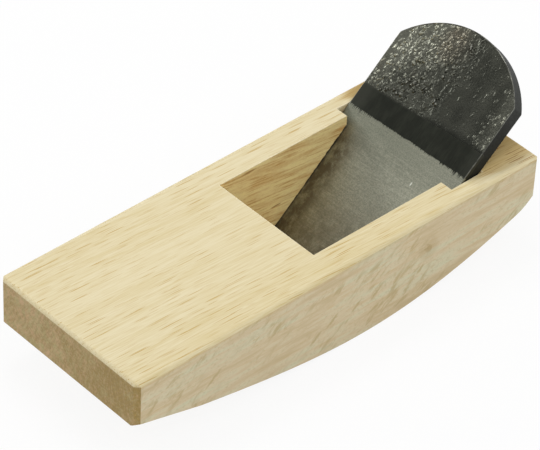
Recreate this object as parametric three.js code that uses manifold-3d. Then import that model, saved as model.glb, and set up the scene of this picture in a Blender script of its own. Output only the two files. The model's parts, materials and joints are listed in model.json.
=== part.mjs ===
import * as THREE from 'three';
import { mergeVertices } from 'three/addons/utils/BufferGeometryUtils.js';
import Module from 'manifold-3d';

// A Japanese hand plane whose sole curves upwards to both ends. One oak block carries a single
// wedge-shaped blade, which is driven down between a sloping bed and a groove in each cheek.
// Lengths are millimetres. X runs from the near end to the far end, Y across and Z up.

// Block
const BLOCK_LENGTH = 155;
const BLOCK_WIDTH = 59;
const NEAR_END_HEIGHT = 16.2;
const FAR_END_HEIGHT = 14.5;
const DECK_EDGE_ROUND = 1.4;
const DECK_EDGE_STEPS = 4;
const NEAR_CORNER_CHAMFER = 1.5;
const FAR_CORNER_CHAMFER = 0.6;

// Sole: one cubic curve, set by its slope at each end and by how far each slope carries inwards.
// Along the toe, the last stretch before the far end, it is worn up into a short round.
const NEAR_SOLE_DEGREES = 12.2;
const FAR_SOLE_DEGREES = 20.4;
const NEAR_SOLE_REACH_SHARE = 0.45;
const FAR_SOLE_REACH_SHARE = 0.38;
const SOLE_STEPS = 42;
const TOE_LENGTH = 7;
const TOE_RISE = 2.2;
const TOE_STEPS = 6;

// A facet worn on the lower right edge: its width and rise at the near end, and how steeply its
// upper line falls from there until the facet runs out into the sole.
const FACET_WIDTH = 2.4;
const FACET_RISE = 1.65;
const FACET_FALL_DEGREES = 15.9;

// Blade
const BLADE_WIDTH = 48;
const BLADE_LENGTH = 83.8;
const BLADE_EDGE_THICKNESS = 4.0;
const BLADE_TAPER_DEGREES = 1.2;
const BEVEL_DEGREES = 28;
const HEAD_RADIUS = 29.3;
const HEAD_STEPS = 36;
const HEAD_CORNER_ROUND = 1.2;
const HEAD_CORNER_STEPS = 3;
const EDGE_WIDTH = 38.4;
const EAR_LENGTH = 6;
const FACING_THICKNESS = 1.2;
const FACING_LENGTH = 53.7;
const FACING_SLANT_DEGREES = 2.6;
const HOLLOW_DEPTH = 0.35;
const HOLLOW_TOP = 42;
const HOLLOW_EDGE_LAND = 1.6;
const HOLLOW_SIDE_LAND = 4.4;
const HOLLOW_RIM_RISE = 0.02;
const HOLLOW_STEPS = 12;

// How the blade sits in the block
const BED_DEGREES = 40.4;
const EDGE_FROM_NEAR_END = 95;
const EDGE_SETBACK = 0.4;
const EDGE_ADVANCE = 1;

// Throat: the opening in front of the blade that the shavings leave by.
const THROAT_WIDTH = 40;
const THROAT_START = 73.6;
const MOUTH_GAP = 1.2;
const MOUTH_WALL_HEIGHT = 4;
const GROOVE_RELIEF = 4.5;

// Shared clearance between pieces, and one overrun for every cut.
const CLEARANCE = 0.3;
const OVERRUN = 12;

const OAK = { color: 0xdfcb96, roughness: 0.62, metalness: 0 };
const FORGED_IRON = { color: 0x3b3c35, roughness: 0.55, metalness: 0.75 };
const GROUND_STEEL = { color: 0x85837c, roughness: 0.4, metalness: 0.9 };

const wasm = await Module();
wasm.setup();

const radians = THREE.MathUtils.degToRad;
const at = (x, y) => new THREE.Vector2(x, y);

// Solids

function toSolid(geometry) {
  const bare = geometry.clone();
  bare.deleteAttribute('normal');
  bare.deleteAttribute('uv');
  const merged = mergeVertices(bare);
  return new wasm.Manifold(new wasm.Mesh({
    numProp: 3,
    vertProperties: Float32Array.from(merged.attributes.position.array),
    triVerts: Uint32Array.from(merged.index.array),
  }));
}

function toGeometry(solid) {
  const mesh = solid.getMesh();
  const geometry = new THREE.BufferGeometry();
  geometry.setAttribute('position', new THREE.BufferAttribute(mesh.vertProperties, 3));
  geometry.setIndex(new THREE.BufferAttribute(mesh.triVerts, 1));
  const flat = geometry.toNonIndexed();
  flat.computeVertexNormals();
  return flat;
}

// A plan outline in X and Y, raised from the height low to the height high.
function extrudeUp(outline, low, high) {
  const geometry = new THREE.ExtrudeGeometry(new THREE.Shape(outline), { depth: high - low, bevelEnabled: false });
  geometry.translate(0, 0, low);
  return geometry;
}

// A side outline in X and Z, given a width that is centred on Y zero.
function extrudeAcross(outline, width) {
  const geometry = extrudeUp(outline, -width / 2, width / 2);
  geometry.rotateX(Math.PI / 2);
  return geometry;
}

// An end outline in Y and Z, run along X from the place start to the place end.
function extrudeAlong(outline, start, end) {
  const geometry = extrudeUp(outline, start, end);
  geometry.applyMatrix4(new THREE.Matrix4().makeBasis(
    new THREE.Vector3(0, 1, 0),
    new THREE.Vector3(0, 0, 1),
    new THREE.Vector3(1, 0, 0),
  ));
  return geometry;
}

// Points of a quarter round of the given radius about a centre, from one angle to another.
function arc(centre, radius, fromDegrees, toDegrees, steps) {
  return Array.from({ length: steps + 1 }, (_, i) => {
    const angle = radians(THREE.MathUtils.lerp(fromDegrees, toDegrees, i / steps));
    return at(centre.x + radius * Math.cos(angle), centre.y + radius * Math.sin(angle));
  });
}

// Sole, in the block's own frame: X zero at the near end and Z zero on the deck.

function solePoints() {
  const nearReach = NEAR_SOLE_REACH_SHARE * BLOCK_LENGTH;
  const farReach = FAR_SOLE_REACH_SHARE * BLOCK_LENGTH;
  const farDepth = FAR_END_HEIGHT + TOE_RISE;
  const curve = new THREE.CubicBezierCurve(
    at(0, -NEAR_END_HEIGHT),
    at(nearReach, -NEAR_END_HEIGHT - nearReach * Math.tan(radians(NEAR_SOLE_DEGREES))),
    at(BLOCK_LENGTH - farReach, -farDepth - farReach * Math.tan(radians(FAR_SOLE_DEGREES))),
    at(BLOCK_LENGTH, -farDepth),
  );
  // Here the curve's parameter covers three times the far reach per unit, which gives the toe's share.
  const toeShare = TOE_LENGTH / (3 * farReach);
  const soleStep = (1 - toeShare) / SOLE_STEPS;
  const sole = Array.from({ length: SOLE_STEPS }, (_, i) => curve.getPoint(i * soleStep));
  const toe = Array.from({ length: TOE_STEPS + 1 }, (_, i) => {
    const wornShare = i / TOE_STEPS;
    const point = curve.getPoint(1 - toeShare * (1 - wornShare));
    return at(point.x, point.y + TOE_RISE * wornShare ** 2);
  });
  return [...sole, ...toe];
}

function soleHeightAt(x) {
  const points = solePoints();
  const next = points.findIndex((point) => point.x >= x);
  const before = points[next - 1];
  const after = points[next];
  return THREE.MathUtils.mapLinear(x, before.x, after.x, before.y, after.y);
}

const soleDepth = -Math.min(...solePoints().map((point) => point.y));

// Blade frame: X runs up the bed, Y across, Z square to the bed and forwards. Its origin lies on
// the back of the blade, square under the cutting edge.

const taper = Math.tan(radians(BLADE_TAPER_DEGREES));
const faceHeightAt = (x) => BLADE_EDGE_THICKNESS + x * taper;
const edgeHeight = soleHeightAt(EDGE_FROM_NEAR_END) + EDGE_SETBACK;
const bladeFrame = new THREE.Matrix4().makeRotationY(-radians(BED_DEGREES));
const edgeOffset = new THREE.Vector3(0, 0, BLADE_EDGE_THICKNESS).applyMatrix4(bladeFrame);
const bladePlace = new THREE.Vector3(EDGE_FROM_NEAR_END, 0, edgeHeight).sub(edgeOffset);
bladeFrame.setPosition(bladePlace);

// The blade grown by a margin on every side, with its lower end carried down by the advance and its
// head carried up by the rise. With all three at zero it is the blade, and otherwise its seat.
function bladeForm(margin, advance, rise) {
  const low = -margin - advance;
  const high = BLADE_LENGTH + rise;
  const halfWidth = BLADE_WIDTH / 2 + margin;
  const halfEdge = EDGE_WIDTH / 2 + margin;
  const bevelRun = BLADE_EDGE_THICKNESS / Math.tan(radians(BEVEL_DEGREES));
  const bevelTop = low + bevelRun;
  const side = [
    at(low, faceHeightAt(0) + margin),
    at(bevelTop, -margin),
    at(high, -margin),
    at(high, faceHeightAt(high) + margin),
  ];
  const plan = [
    at(low, -halfEdge),
    at(low + EAR_LENGTH, -halfWidth),
    ...headPoints(halfWidth, high, rise),
    at(low + EAR_LENGTH, halfWidth),
    at(low, halfEdge),
  ];
  const slab = toSolid(extrudeUp(plan, -margin - OVERRUN, faceHeightAt(high) + margin + OVERRUN));
  const wedge = toSolid(extrudeAcross(side, BLADE_WIDTH + OVERRUN));
  return slab.intersect(wedge);
}

// The head of the blade is a full-width arc. The head of its seat is square, above the deck.
function headPoints(halfWidth, high, rise) {
  if (rise > 0) {
    return [at(high, -halfWidth), at(high, halfWidth)];
  }
  const centre = at(high - HEAD_RADIUS, 0);
  const innerRadius = HEAD_RADIUS - HEAD_CORNER_ROUND;
  const innerHalf = halfWidth - HEAD_CORNER_ROUND;
  const swing = THREE.MathUtils.radToDeg(Math.asin(innerHalf / innerRadius));
  const corner = centre.x + Math.sqrt(innerRadius ** 2 - innerHalf ** 2);
  return [
    ...arc(at(corner, -innerHalf), HEAD_CORNER_ROUND, -90, -swing, HEAD_CORNER_STEPS),
    ...arc(centre, HEAD_RADIUS, -swing, swing, HEAD_STEPS).slice(1, -1),
    ...arc(at(corner, innerHalf), HEAD_CORNER_ROUND, swing, 90, HEAD_CORNER_STEPS),
  ];
}

// The front layer of the blade, up to a slightly slanting line across it.
function facingLayer(thickness, length) {
  const halfWidth = BLADE_WIDTH / 2 + OVERRUN;
  const slant = halfWidth * Math.tan(radians(FACING_SLANT_DEGREES));
  const plan = [
    at(-OVERRUN, -halfWidth),
    at(length + slant, -halfWidth),
    at(length - slant, halfWidth),
    at(-OVERRUN, halfWidth),
  ];
  const side = [
    at(-OVERRUN, faceHeightAt(-OVERRUN) - thickness),
    at(BLADE_LENGTH, faceHeightAt(BLADE_LENGTH) - thickness),
    at(BLADE_LENGTH, faceHeightAt(BLADE_LENGTH) + OVERRUN),
    at(-OVERRUN, faceHeightAt(-OVERRUN) + OVERRUN),
  ];
  const slab = toSolid(extrudeUp(plan, -OVERRUN, faceHeightAt(BLADE_LENGTH) + OVERRUN));
  return slab.intersect(toSolid(extrudeAcross(side, BLADE_WIDTH + OVERRUN)));
}

function makeBladeBody() {
  const recess = facingLayer(FACING_THICKNESS + CLEARANCE, FACING_LENGTH + CLEARANCE);
  return toGeometry(bladeForm(0, 0, 0).subtract(recess));
}

// The hollow ground into the facing: a shallow dish that leaves a flat land along the cutting edge
// and along each side. Its rim starts just above the face, so that the dish has rounded corners.
function makeHollow() {
  const length = HOLLOW_TOP - HOLLOW_EDGE_LAND;
  const width = BLADE_WIDTH - 2 * HOLLOW_SIDE_LAND;
  const dish = new THREE.BoxGeometry(length, width, OVERRUN, HOLLOW_STEPS, HOLLOW_STEPS, 1);
  const place = dish.attributes.position;
  for (let i = 0; i < place.count; i += 1) {
    const along = place.getX(i) / (length / 2);
    const across = place.getY(i) / (width / 2);
    const x = place.getX(i) + HOLLOW_EDGE_LAND + length / 2;
    const sunk = (HOLLOW_DEPTH + HOLLOW_RIM_RISE) * (1 - along ** 4) * (1 - across ** 2);
    const rise = place.getZ(i) > 0 ? OVERRUN : HOLLOW_RIM_RISE - sunk;
    place.setXYZ(i, x, place.getY(i), faceHeightAt(x) + rise);
  }
  return toSolid(dish);
}

function makeBladeFacing() {
  const layer = bladeForm(0, 0, 0).intersect(facingLayer(FACING_THICKNESS, FACING_LENGTH));
  return toGeometry(layer.subtract(makeHollow()));
}

// Block

function makeBlank() {
  const half = BLOCK_WIDTH / 2;
  const round = DECK_EDGE_ROUND;
  const near = NEAR_CORNER_CHAMFER;
  const far = FAR_CORNER_CHAMFER;
  const bottom = -soleDepth - OVERRUN;
  const side = [
    ...solePoints(),
    ...arc(at(BLOCK_LENGTH - round, -round), round, 0, 90, DECK_EDGE_STEPS),
    ...arc(at(round, -round), round, 90, 180, DECK_EDGE_STEPS),
  ];
  const plan = [
    at(near, -half),
    at(BLOCK_LENGTH - far, -half),
    at(BLOCK_LENGTH, far - half),
    at(BLOCK_LENGTH, half - far),
    at(BLOCK_LENGTH - far, half),
    at(near, half),
    at(0, half - near),
    at(0, near - half),
  ];
  const end = [
    at(-half, bottom),
    at(half, bottom),
    ...arc(at(half - round, -round), round, 0, 90, DECK_EDGE_STEPS),
    ...arc(at(round - half, -round), round, 90, 180, DECK_EDGE_STEPS),
  ];
  return toSolid(extrudeAcross(side, BLOCK_WIDTH + OVERRUN))
    .intersect(toSolid(extrudeUp(plan, bottom, OVERRUN)))
    .intersect(toSolid(extrudeAlong(end, -OVERRUN, BLOCK_LENGTH + OVERRUN)));
}

// What the worn facet takes off, drawn at the near end and sheared so that it falls along X.
function makeFacetCut() {
  const upper = at(-BLOCK_WIDTH / 2, FACET_RISE - NEAR_END_HEIGHT);
  const lower = at(FACET_WIDTH - BLOCK_WIDTH / 2, -NEAR_END_HEIGHT);
  const step = lower.clone().sub(upper);
  const bottom = -soleDepth - OVERRUN;
  upper.sub(step);
  lower.add(step);
  const outline = [upper, at(upper.x, bottom), at(lower.x, bottom), lower];
  const cut = extrudeAlong(outline, -OVERRUN, BLOCK_LENGTH);
  const fall = Math.tan(radians(FACET_FALL_DEGREES));
  return toSolid(cut.applyMatrix4(new THREE.Matrix4().makeShear(0, -fall, 0, 0, 0, 0)));
}

// The seat takes the whole blade, ears and bevel included, and stops short of the sole. Between the
// cheeks its bed runs on through the sole as the back of the mouth.
function makeSeat() {
  const reach = BLADE_LENGTH;
  const slot = extrudeAcross([
    at(-reach, -CLEARANCE),
    at(reach, -CLEARANCE),
    at(reach, faceHeightAt(reach)),
    at(-reach, faceHeightAt(-reach)),
  ], THROAT_WIDTH);
  return bladeForm(CLEARANCE, EDGE_ADVANCE, OVERRUN).add(toSolid(slot)).transform(bladeFrame.elements);
}

// Where a line inside the seat, parallel to the bed, crosses the height z of the block's frame.
function insideSeatAt(z) {
  const bed = radians(BED_DEGREES);
  const depth = BLADE_EDGE_THICKNESS / 2;
  const run = (z - bladePlace.z - depth * Math.cos(bed)) / Math.sin(bed);
  return at(bladePlace.x + run * Math.cos(bed) - depth * Math.sin(bed), z);
}

function makeThroat() {
  const mouth = EDGE_FROM_NEAR_END - MOUTH_GAP;
  const below = -soleDepth - MOUTH_GAP;
  const outline = [
    at(THROAT_START, 0),
    at(mouth, soleHeightAt(mouth) + MOUTH_WALL_HEIGHT),
    at(mouth, below),
    insideSeatAt(below),
    insideSeatAt(OVERRUN),
    at(THROAT_START, OVERRUN),
  ];
  return toSolid(extrudeAcross(outline, THROAT_WIDTH));
}

// The top of each groove is cut back upright, so that the cheek doesn't end in a feather edge.
function makeGrooveRelief() {
  const face = radians(BED_DEGREES + BLADE_TAPER_DEGREES);
  const start = EDGE_FROM_NEAR_END - edgeHeight / Math.tan(face) - GROOVE_RELIEF;
  const bed = Math.tan(radians(BED_DEGREES));
  const top = insideSeatAt(OVERRUN);
  const outline = [
    at(start, OVERRUN),
    at(start, top.y - (top.x - start) * bed),
    top,
  ];
  return toSolid(extrudeAcross(outline, BLADE_WIDTH + 2 * CLEARANCE));
}

function makeBlock() {
  const cuts = makeSeat().add(makeThroat()).add(makeGrooveRelief()).add(makeFacetCut());
  return toGeometry(makeBlank().subtract(cuts));
}

// Assembly

function namedMesh(name, geometry, finish) {
  const mesh = new THREE.Mesh(geometry, new THREE.MeshStandardMaterial(finish));
  mesh.name = name;
  return mesh;
}

const block = namedMesh('block', makeBlock(), OAK);

const blade = new THREE.Group();
blade.add(namedMesh('blade_body', makeBladeBody(), FORGED_IRON));
blade.add(namedMesh('blade_facing', makeBladeFacing(), GROUND_STEEL));
blade.rotation.y = -radians(BED_DEGREES);
blade.position.copy(bladePlace);

// The plane's origin is under the middle of everything, at the lowest point of the sole.
const plane = new THREE.Group();
plane.add(block, blade);
const reach = new THREE.Box3().setFromObject(plane, true);
const middle = reach.getCenter(new THREE.Vector3());
plane.position.set(-middle.x, -middle.y, -reach.min.z);

export default plane;
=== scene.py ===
"""Finishes a Japanese hand plane: its oak block, its forged blade, and a pale studio round them."""

import json
import math

import bmesh
import bpy
from mathutils import Matrix, Quaternion, Vector, noise


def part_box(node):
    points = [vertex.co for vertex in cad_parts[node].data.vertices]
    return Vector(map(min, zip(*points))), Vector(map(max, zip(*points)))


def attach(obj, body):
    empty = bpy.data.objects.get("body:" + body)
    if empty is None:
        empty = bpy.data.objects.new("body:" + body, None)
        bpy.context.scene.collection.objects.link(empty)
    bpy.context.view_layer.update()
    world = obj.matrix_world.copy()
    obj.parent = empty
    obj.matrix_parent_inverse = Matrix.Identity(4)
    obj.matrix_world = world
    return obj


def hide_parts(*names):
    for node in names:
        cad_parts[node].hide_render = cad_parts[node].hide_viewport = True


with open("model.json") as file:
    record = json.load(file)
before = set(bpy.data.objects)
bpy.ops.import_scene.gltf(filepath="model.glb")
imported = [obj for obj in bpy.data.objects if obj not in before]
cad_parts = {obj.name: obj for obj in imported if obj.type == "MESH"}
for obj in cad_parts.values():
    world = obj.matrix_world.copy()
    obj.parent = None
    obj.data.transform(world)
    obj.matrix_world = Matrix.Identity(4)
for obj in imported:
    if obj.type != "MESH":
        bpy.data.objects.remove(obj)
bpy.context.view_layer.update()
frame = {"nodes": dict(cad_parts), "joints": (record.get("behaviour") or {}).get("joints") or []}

bl_info = {
    "name": "Hand Plane Finish",
    "version": (1, 0, 0),
    "blender": (4, 5, 0),
    "location": "3D View > Sidebar > Hand Plane",
    "description": "Models and finishes the oak block and the forged blade of a hand plane",
    "category": "Object",
}

MM = 0.001

# Places on the plane, in metres, from the frame.
BLOCK_LOW, BLOCK_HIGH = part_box("block")
FACING_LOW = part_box("blade_facing")[0]
UP_BED = Vector(frame["joints"][0]["axis"]).normalized()
OFF_BED = Vector((-UP_BED.z, 0, UP_BED.x))
ACROSS = Vector((0, 1, 0))
BED_ANGLE = math.atan2(UP_BED.z, UP_BED.x)
CUTTING_EDGE = Vector((FACING_LOW.x, 0, FACING_LOW.z))
HALF_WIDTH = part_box("blade_body")[1].y
THROAT_HALF_WIDTH = 20 * MM
THROAT_START = BLOCK_LOW.x + 73.6 * MM
THROAT_END = BLOCK_LOW.x + 133 * MM
CAD_GAP = 0.3 * MM
HAIR = 0.01 * MM
TAPER = math.radians(1.2)
BEVEL = math.radians(28)
EAR_SLOPE = 0.8
FACE_NORMAL = Matrix.Rotation(-TAPER, 3, ACROSS) @ OFF_BED
FACE_UP = Matrix.Rotation(-TAPER, 3, ACROSS) @ UP_BED

# Mesh tolerances
WELD = 0.002 * MM
FLAT_ANGLE = math.radians(0.12)
SHARP_ANGLE = math.radians(30)


def blade_place(point):
    """How far a point lies up the blade's face from the cutting edge, across it, and off it."""
    offset = point - CUTTING_EDGE
    return offset.dot(FACE_UP), offset.y, offset.dot(FACE_NORMAL)


def ease(low, high, value):
    """Nought below low, one above high, and a smooth rise between them."""
    share = min(max((value - low) / (high - low), 0), 1)
    return share * share * (3 - 2 * share)


# Sizes and colours that a user would change

class BlockProperties(bpy.types.PropertyGroup):
    """The oak block's arrises, grain and colours."""

    arris: bpy.props.FloatProperty(
        name="Arris", description="Width of the softened sharp edges",
        default=0.22 * MM, unit="LENGTH")
    lip_wander: bpy.props.FloatProperty(
        name="Lip Wander", description="How far the sawn lip of a side groove strays from its line",
        default=0.45 * MM, unit="LENGTH")
    pale: bpy.props.FloatVectorProperty(
        name="Pale Wood", description="Colour of the plain wood between the pores",
        default=(0.805, 0.712, 0.47), subtype="COLOR")
    deep: bpy.props.FloatVectorProperty(
        name="Deep Wood", description="Colour of the darker streaks",
        default=(0.69, 0.565, 0.29), subtype="COLOR")
    pore: bpy.props.FloatVectorProperty(
        name="Pores", description="Colour of the open pores",
        default=(0.56, 0.375, 0.12), subtype="COLOR")
    side: bpy.props.FloatVectorProperty(
        name="Side Wood", description="Colour of the wood on the sides",
        default=(0.69, 0.565, 0.37), subtype="COLOR")
    side_cool: bpy.props.FloatVectorProperty(
        name="Cool Side Wood", description="Colour of the greyer patches on the sides",
        default=(0.645, 0.62, 0.43), subtype="COLOR")
    ray: bpy.props.FloatVectorProperty(
        name="Ray Flecks", description="Colour of the flecks that the rays leave on the sides",
        default=(0.45, 0.345, 0.155), subtype="COLOR")
    end: bpy.props.FloatVectorProperty(
        name="End Grain", description="Colour of the wood where it is cut across",
        default=(0.565, 0.385, 0.21), subtype="COLOR")
    end_green: bpy.props.FloatVectorProperty(
        name="Green End Grain", description="Colour of the greener patches of the end grain",
        default=(0.47, 0.395, 0.19), subtype="COLOR")
    end_deep: bpy.props.FloatVectorProperty(
        name="Deep End Grain", description="Colour of the darker rays and the right of the end grain",
        default=(0.33, 0.225, 0.070), subtype="COLOR")
    # Behind the blade these dark pores help to paint the blade's shadow.
    mark: bpy.props.FloatVectorProperty(
        name="Deep Marks", description="Colour of the dark pores in the throat and behind the blade",
        default=(0.36, 0.17, 0.045), subtype="COLOR")
    # These two colours are brighter and yellower than the deck's: the cut wood with painted warm bounce
    # light in the throat.
    throat_wood_and_bounce: bpy.props.FloatVectorProperty(
        name="Fresh Cuts", description="Colour of the wood cut inside the throat",
        default=(0.97, 0.83, 0.42), subtype="COLOR")
    throat_streak_and_bounce: bpy.props.FloatVectorProperty(
        name="Deep Fresh Cuts", description="Colour of the darker streaks inside the throat",
        default=(0.62, 0.37, 0.125), subtype="COLOR")


class BladeProperties(bpy.types.PropertyGroup):
    """The blade's forged skin, its ground steel and its relief."""

    arris: bpy.props.FloatProperty(
        name="Arris", description="Width of the worn edges round the blade",
        default=0.24 * MM, unit="LENGTH")
    corner: bpy.props.FloatProperty(
        name="Bevel Corner", description="Width of the rounding where the bevel meets the cut of an ear",
        default=0.5 * MM, unit="LENGTH")
    mesh_step: bpy.props.FloatProperty(
        name="Mesh Step", description="Spacing of the mesh that carries the forged relief",
        default=0.15 * MM, unit="LENGTH")
    lump_pitch: bpy.props.FloatProperty(
        name="Lump Pitch", description="Distance from one forged lump to the next",
        default=0.92 * MM, unit="LENGTH")
    lump_height: bpy.props.FloatProperty(
        name="Lump Height", description="Height of the forged lumps over the hollows between them",
        default=0.74 * MM, unit="LENGTH")
    ground_to: bpy.props.FloatProperty(
        name="Ground To", description="Distance from the cutting edge to the end of the ground steel",
        default=45.9 * MM, unit="LENGTH")
    band_to: bpy.props.FloatProperty(
        name="Band To", description="Distance from the cutting edge to the end of the black band",
        default=53.7 * MM, unit="LENGTH")
    skin: bpy.props.FloatVectorProperty(
        name="Forge Skin", description="Colour of the black skin that forging leaves",
        default=(0.058, 0.060, 0.048), subtype="COLOR")
    # Where the head is painted lighter, this colour carries a painted sheen as well as wear.
    worn: bpy.props.FloatVectorProperty(
        name="Worn Skin", description="Colour of the skin where the head is forged rough",
        default=(0.47, 0.475, 0.38), subtype="COLOR")
    bare: bpy.props.FloatVectorProperty(
        name="Bare Metal", description="Colour of metal that wear has laid bare",
        default=(0.6, 0.6, 0.53), subtype="COLOR")
    rust: bpy.props.FloatVectorProperty(
        name="Rust", description="Colour of the faint rust in the forge skin",
        default=(0.27, 0.20, 0.13), subtype="COLOR")
    band: bpy.props.FloatVectorProperty(
        name="Dark Band", description="Colour of the smooth black band over the ground steel",
        default=(0.0205, 0.022, 0.0175), subtype="COLOR")
    steel: bpy.props.FloatVectorProperty(
        name="Ground Steel", description="Colour of the ground face",
        default=(0.35, 0.355, 0.286), subtype="COLOR")
    # Low down and beside the left cheek this colour paints shade and reflected wood, with faint stain.
    tarnish_and_shade: bpy.props.FloatVectorProperty(
        name="Tarnish", description="Colour of the ground face where it has gone brown",
        default=(0.127, 0.113, 0.083), subtype="COLOR")


class StageProperties(bpy.types.PropertyGroup):
    """The camera, the lamps and the floor."""

    azimuth: bpy.props.FloatProperty(
        name="Azimuth", description="Bearing of the camera round the plane",
        default=math.radians(-44.03), subtype="ANGLE")
    elevation: bpy.props.FloatProperty(
        name="Elevation", description="Height of the camera above the horizon",
        default=math.radians(40.34), subtype="ANGLE")
    roll: bpy.props.FloatProperty(
        name="Roll", description="Tilt of the camera about its own line of sight",
        default=math.radians(2.85), subtype="ANGLE")
    distance: bpy.props.FloatProperty(
        name="Distance", description="Distance from the camera to the point that it looks at",
        default=1003.9 * MM, unit="LENGTH")
    target: bpy.props.FloatVectorProperty(
        name="Target", description="Point that the camera looks at",
        default=(4.85 * MM, 10.58 * MM, 15.0 * MM), subtype="TRANSLATION", unit="LENGTH")
    lens: bpy.props.FloatProperty(
        name="Lens", description="Focal length in millimetres on a sensor 36 mm wide",
        default=229.06)
    key: bpy.props.FloatProperty(
        name="Key Light", description="Brightness that the overhead lamp alone gives a white deck",
        default=0.185)
    fill: bpy.props.FloatProperty(
        name="Fill Light", description="Brightness that the low lamp alone gives a white deck",
        default=0.15)
    rake: bpy.props.FloatProperty(
        name="Raking Light",
        description="Brightness that the low lamp on the left alone gives a white deck",
        default=0.065)
    horizon: bpy.props.FloatProperty(
        name="Horizon Light", description="Brightness of the light from low down all round",
        default=0.4)
    zenith: bpy.props.FloatProperty(
        name="Zenith Light", description="Brightness of the light from straight above",
        default=0.76)
    floor: bpy.props.FloatVectorProperty(
        name="Floor", description="Colour of the floor",
        default=(0.93, 0.93, 0.93), subtype="COLOR")


# Shader wiring

class Value:
    """A number, place or colour in a shader tree. Sums with it add the nodes that work them out."""

    def __init__(self, wiring, socket):
        self.wiring = wiring
        self.socket = socket

    def __add__(self, other):
        return self.wiring.math("ADD", self, other)

    def __radd__(self, other):
        return self.wiring.math("ADD", other, self)

    def __sub__(self, other):
        return self.wiring.math("SUBTRACT", self, other)

    def __rsub__(self, other):
        return self.wiring.math("SUBTRACT", other, self)

    def __mul__(self, other):
        return self.wiring.math("MULTIPLY", self, other)

    def __truediv__(self, other):
        return self.wiring.math("DIVIDE", self, other)

    def __pow__(self, other):
        return self.wiring.math("POWER", self, other)

    def __abs__(self):
        return self.wiring.math("ABSOLUTE", self)

    def clamped(self):
        """The same sum, held between nought and one."""
        self.socket.node.use_clamp = True
        return self

    def to_line(self):
        """Distance to the nearest whole number, from nought to a half."""
        return self.wiring.math("PINGPONG", self, 0.5)

    def rise(self, low, high, start=0.0, end=1.0):
        """Start below low, end above high, and a smooth change between them."""
        inputs = {"Value": self, "From Min": low, "From Max": high, "To Min": start, "To Max": end}
        return self.wiring.value("ShaderNodeMapRange", inputs, interpolation_type="SMOOTHSTEP")

    def scaled(self, scale):
        """A place multiplied by a vector, part by part."""
        return self.wiring.value("ShaderNodeVectorMath", {0: self, 1: scale}, operation="MULTIPLY")

    def turned(self, angle):
        """A place turned about the second axis."""
        return self.wiring.value("ShaderNodeMapping", {"Vector": self, "Rotation": (0, angle, 0)})

    def parts(self):
        """The three numbers of a place."""
        return tuple(self.wiring.outputs("ShaderNodeSeparateXYZ", {0: self}).values())

    def noise(self, scale=None, detail=3.0, roughness=0.5, distortion=0.0):
        """Soft noise from nought to one, with one wave to a unit of the place once it is scaled."""
        inputs = {"Vector": self.scaled(scale) if scale else self, "Scale": 1.0}
        inputs.update({"Detail": detail, "Roughness": roughness, "Distortion": distortion})
        return self.wiring.value("ShaderNodeTexNoise", inputs)

    def cells(self):
        """Distance to the middle of the nearest flat cell, and that cell's own random colour."""
        inputs = {"Vector": self, "Scale": 1.0}
        found = self.wiring.outputs("ShaderNodeTexVoronoi", inputs, voronoi_dimensions="2D")
        return found["Distance"], found["Color"]


class Wiring:
    """Adds nodes to a shader tree, each with its settings and inputs in one call."""

    def __init__(self, tree):
        self.tree = tree

    def add(self, kind, inputs=None, **settings):
        """A new node, with its settings and inputs."""
        node = self.tree.nodes.new(kind)
        for name, value in settings.items():
            setattr(node, name, value)
        self.feed(node, inputs or {})
        return node

    def feed(self, node, inputs):
        """Gives each input its value or the socket that feeds it. A colour has three numbers."""
        for key, value in inputs.items():
            socket = node.inputs[key]
            value = getattr(value, "socket", value)
            if isinstance(value, bpy.types.NodeSocket):
                self.tree.links.new(value, socket)
            elif socket.type == "RGBA":
                socket.default_value = (*value, 1.0)
            else:
                socket.default_value = value

    def outputs(self, kind, inputs=None, **settings):
        """The outputs of a new node, by their names."""
        node = self.add(kind, inputs, **settings)
        return {socket.name: Value(self, socket) for socket in node.outputs}

    def value(self, kind, inputs, output=0, **settings):
        """One output of a new node."""
        return Value(self, self.add(kind, inputs, **settings).outputs[output])

    def math(self, operation, first, second=0.0):
        """The result of one sum on plain numbers."""
        return self.value("ShaderNodeMath", {0: first, 1: second}, operation=operation)

    def most(self, first, second):
        """The greater of two numbers."""
        return self.math("MAXIMUM", first, second)

    def joined(self, x, y, z):
        """A place made of three numbers."""
        return self.value("ShaderNodeCombineXYZ", {0: x, 1: y, 2: z})

    def mixed(self, share, first, second):
        """One number on the way from another by a share."""
        return self.value("ShaderNodeMix", {0: share, 2: first, 3: second})

    def blend(self, share, first, second, mode="MIX"):
        """One colour laid over another by a share."""
        inputs = {0: share, 6: first, 7: second}
        return self.value("ShaderNodeMix", inputs, output=2, data_type="RGBA", blend_type=mode)

    def tinted(self, colour, tint):
        """A colour multiplied by another."""
        return self.blend(1.0, colour, tint, mode="MULTIPLY")

    def coordinate(self, name):
        """A coordinate of the point on the surface."""
        return self.value("ShaderNodeTexCoord", {}, output=name)

    def attribute(self, name):
        """A value that the mesh carries at each of its points or faces."""
        return self.value("ShaderNodeAttribute", {}, output="Fac", attribute_name=name)

    def bump(self, height, strength, distance):
        """The normal of a surface with small bumps, whose full height is the distance."""
        inputs = {"Height": height, "Strength": strength, "Distance": distance}
        return self.value("ShaderNodeBump", inputs)


def new_group(name, inputs, outputs):
    """An empty shader node group with named inputs and outputs, and the wiring for it."""
    group = bpy.data.node_groups.new(name, "ShaderNodeTree")
    kinds = {"vector": "NodeSocketVector", "value": "NodeSocketFloat", "colour": "NodeSocketColor"}
    for label, kind in inputs.items():
        group.interface.new_socket(name=label, in_out="INPUT", socket_type=kinds[kind])
    for label, kind in outputs.items():
        group.interface.new_socket(name=label, in_out="OUTPUT", socket_type=kinds[kind])
    wiring = Wiring(group)
    return group, wiring, wiring.outputs("NodeGroupInput")


def shared_group(name, build):
    """The named group, built the first time that a material asks for it."""
    return bpy.data.node_groups.get(name) or build(name)


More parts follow.
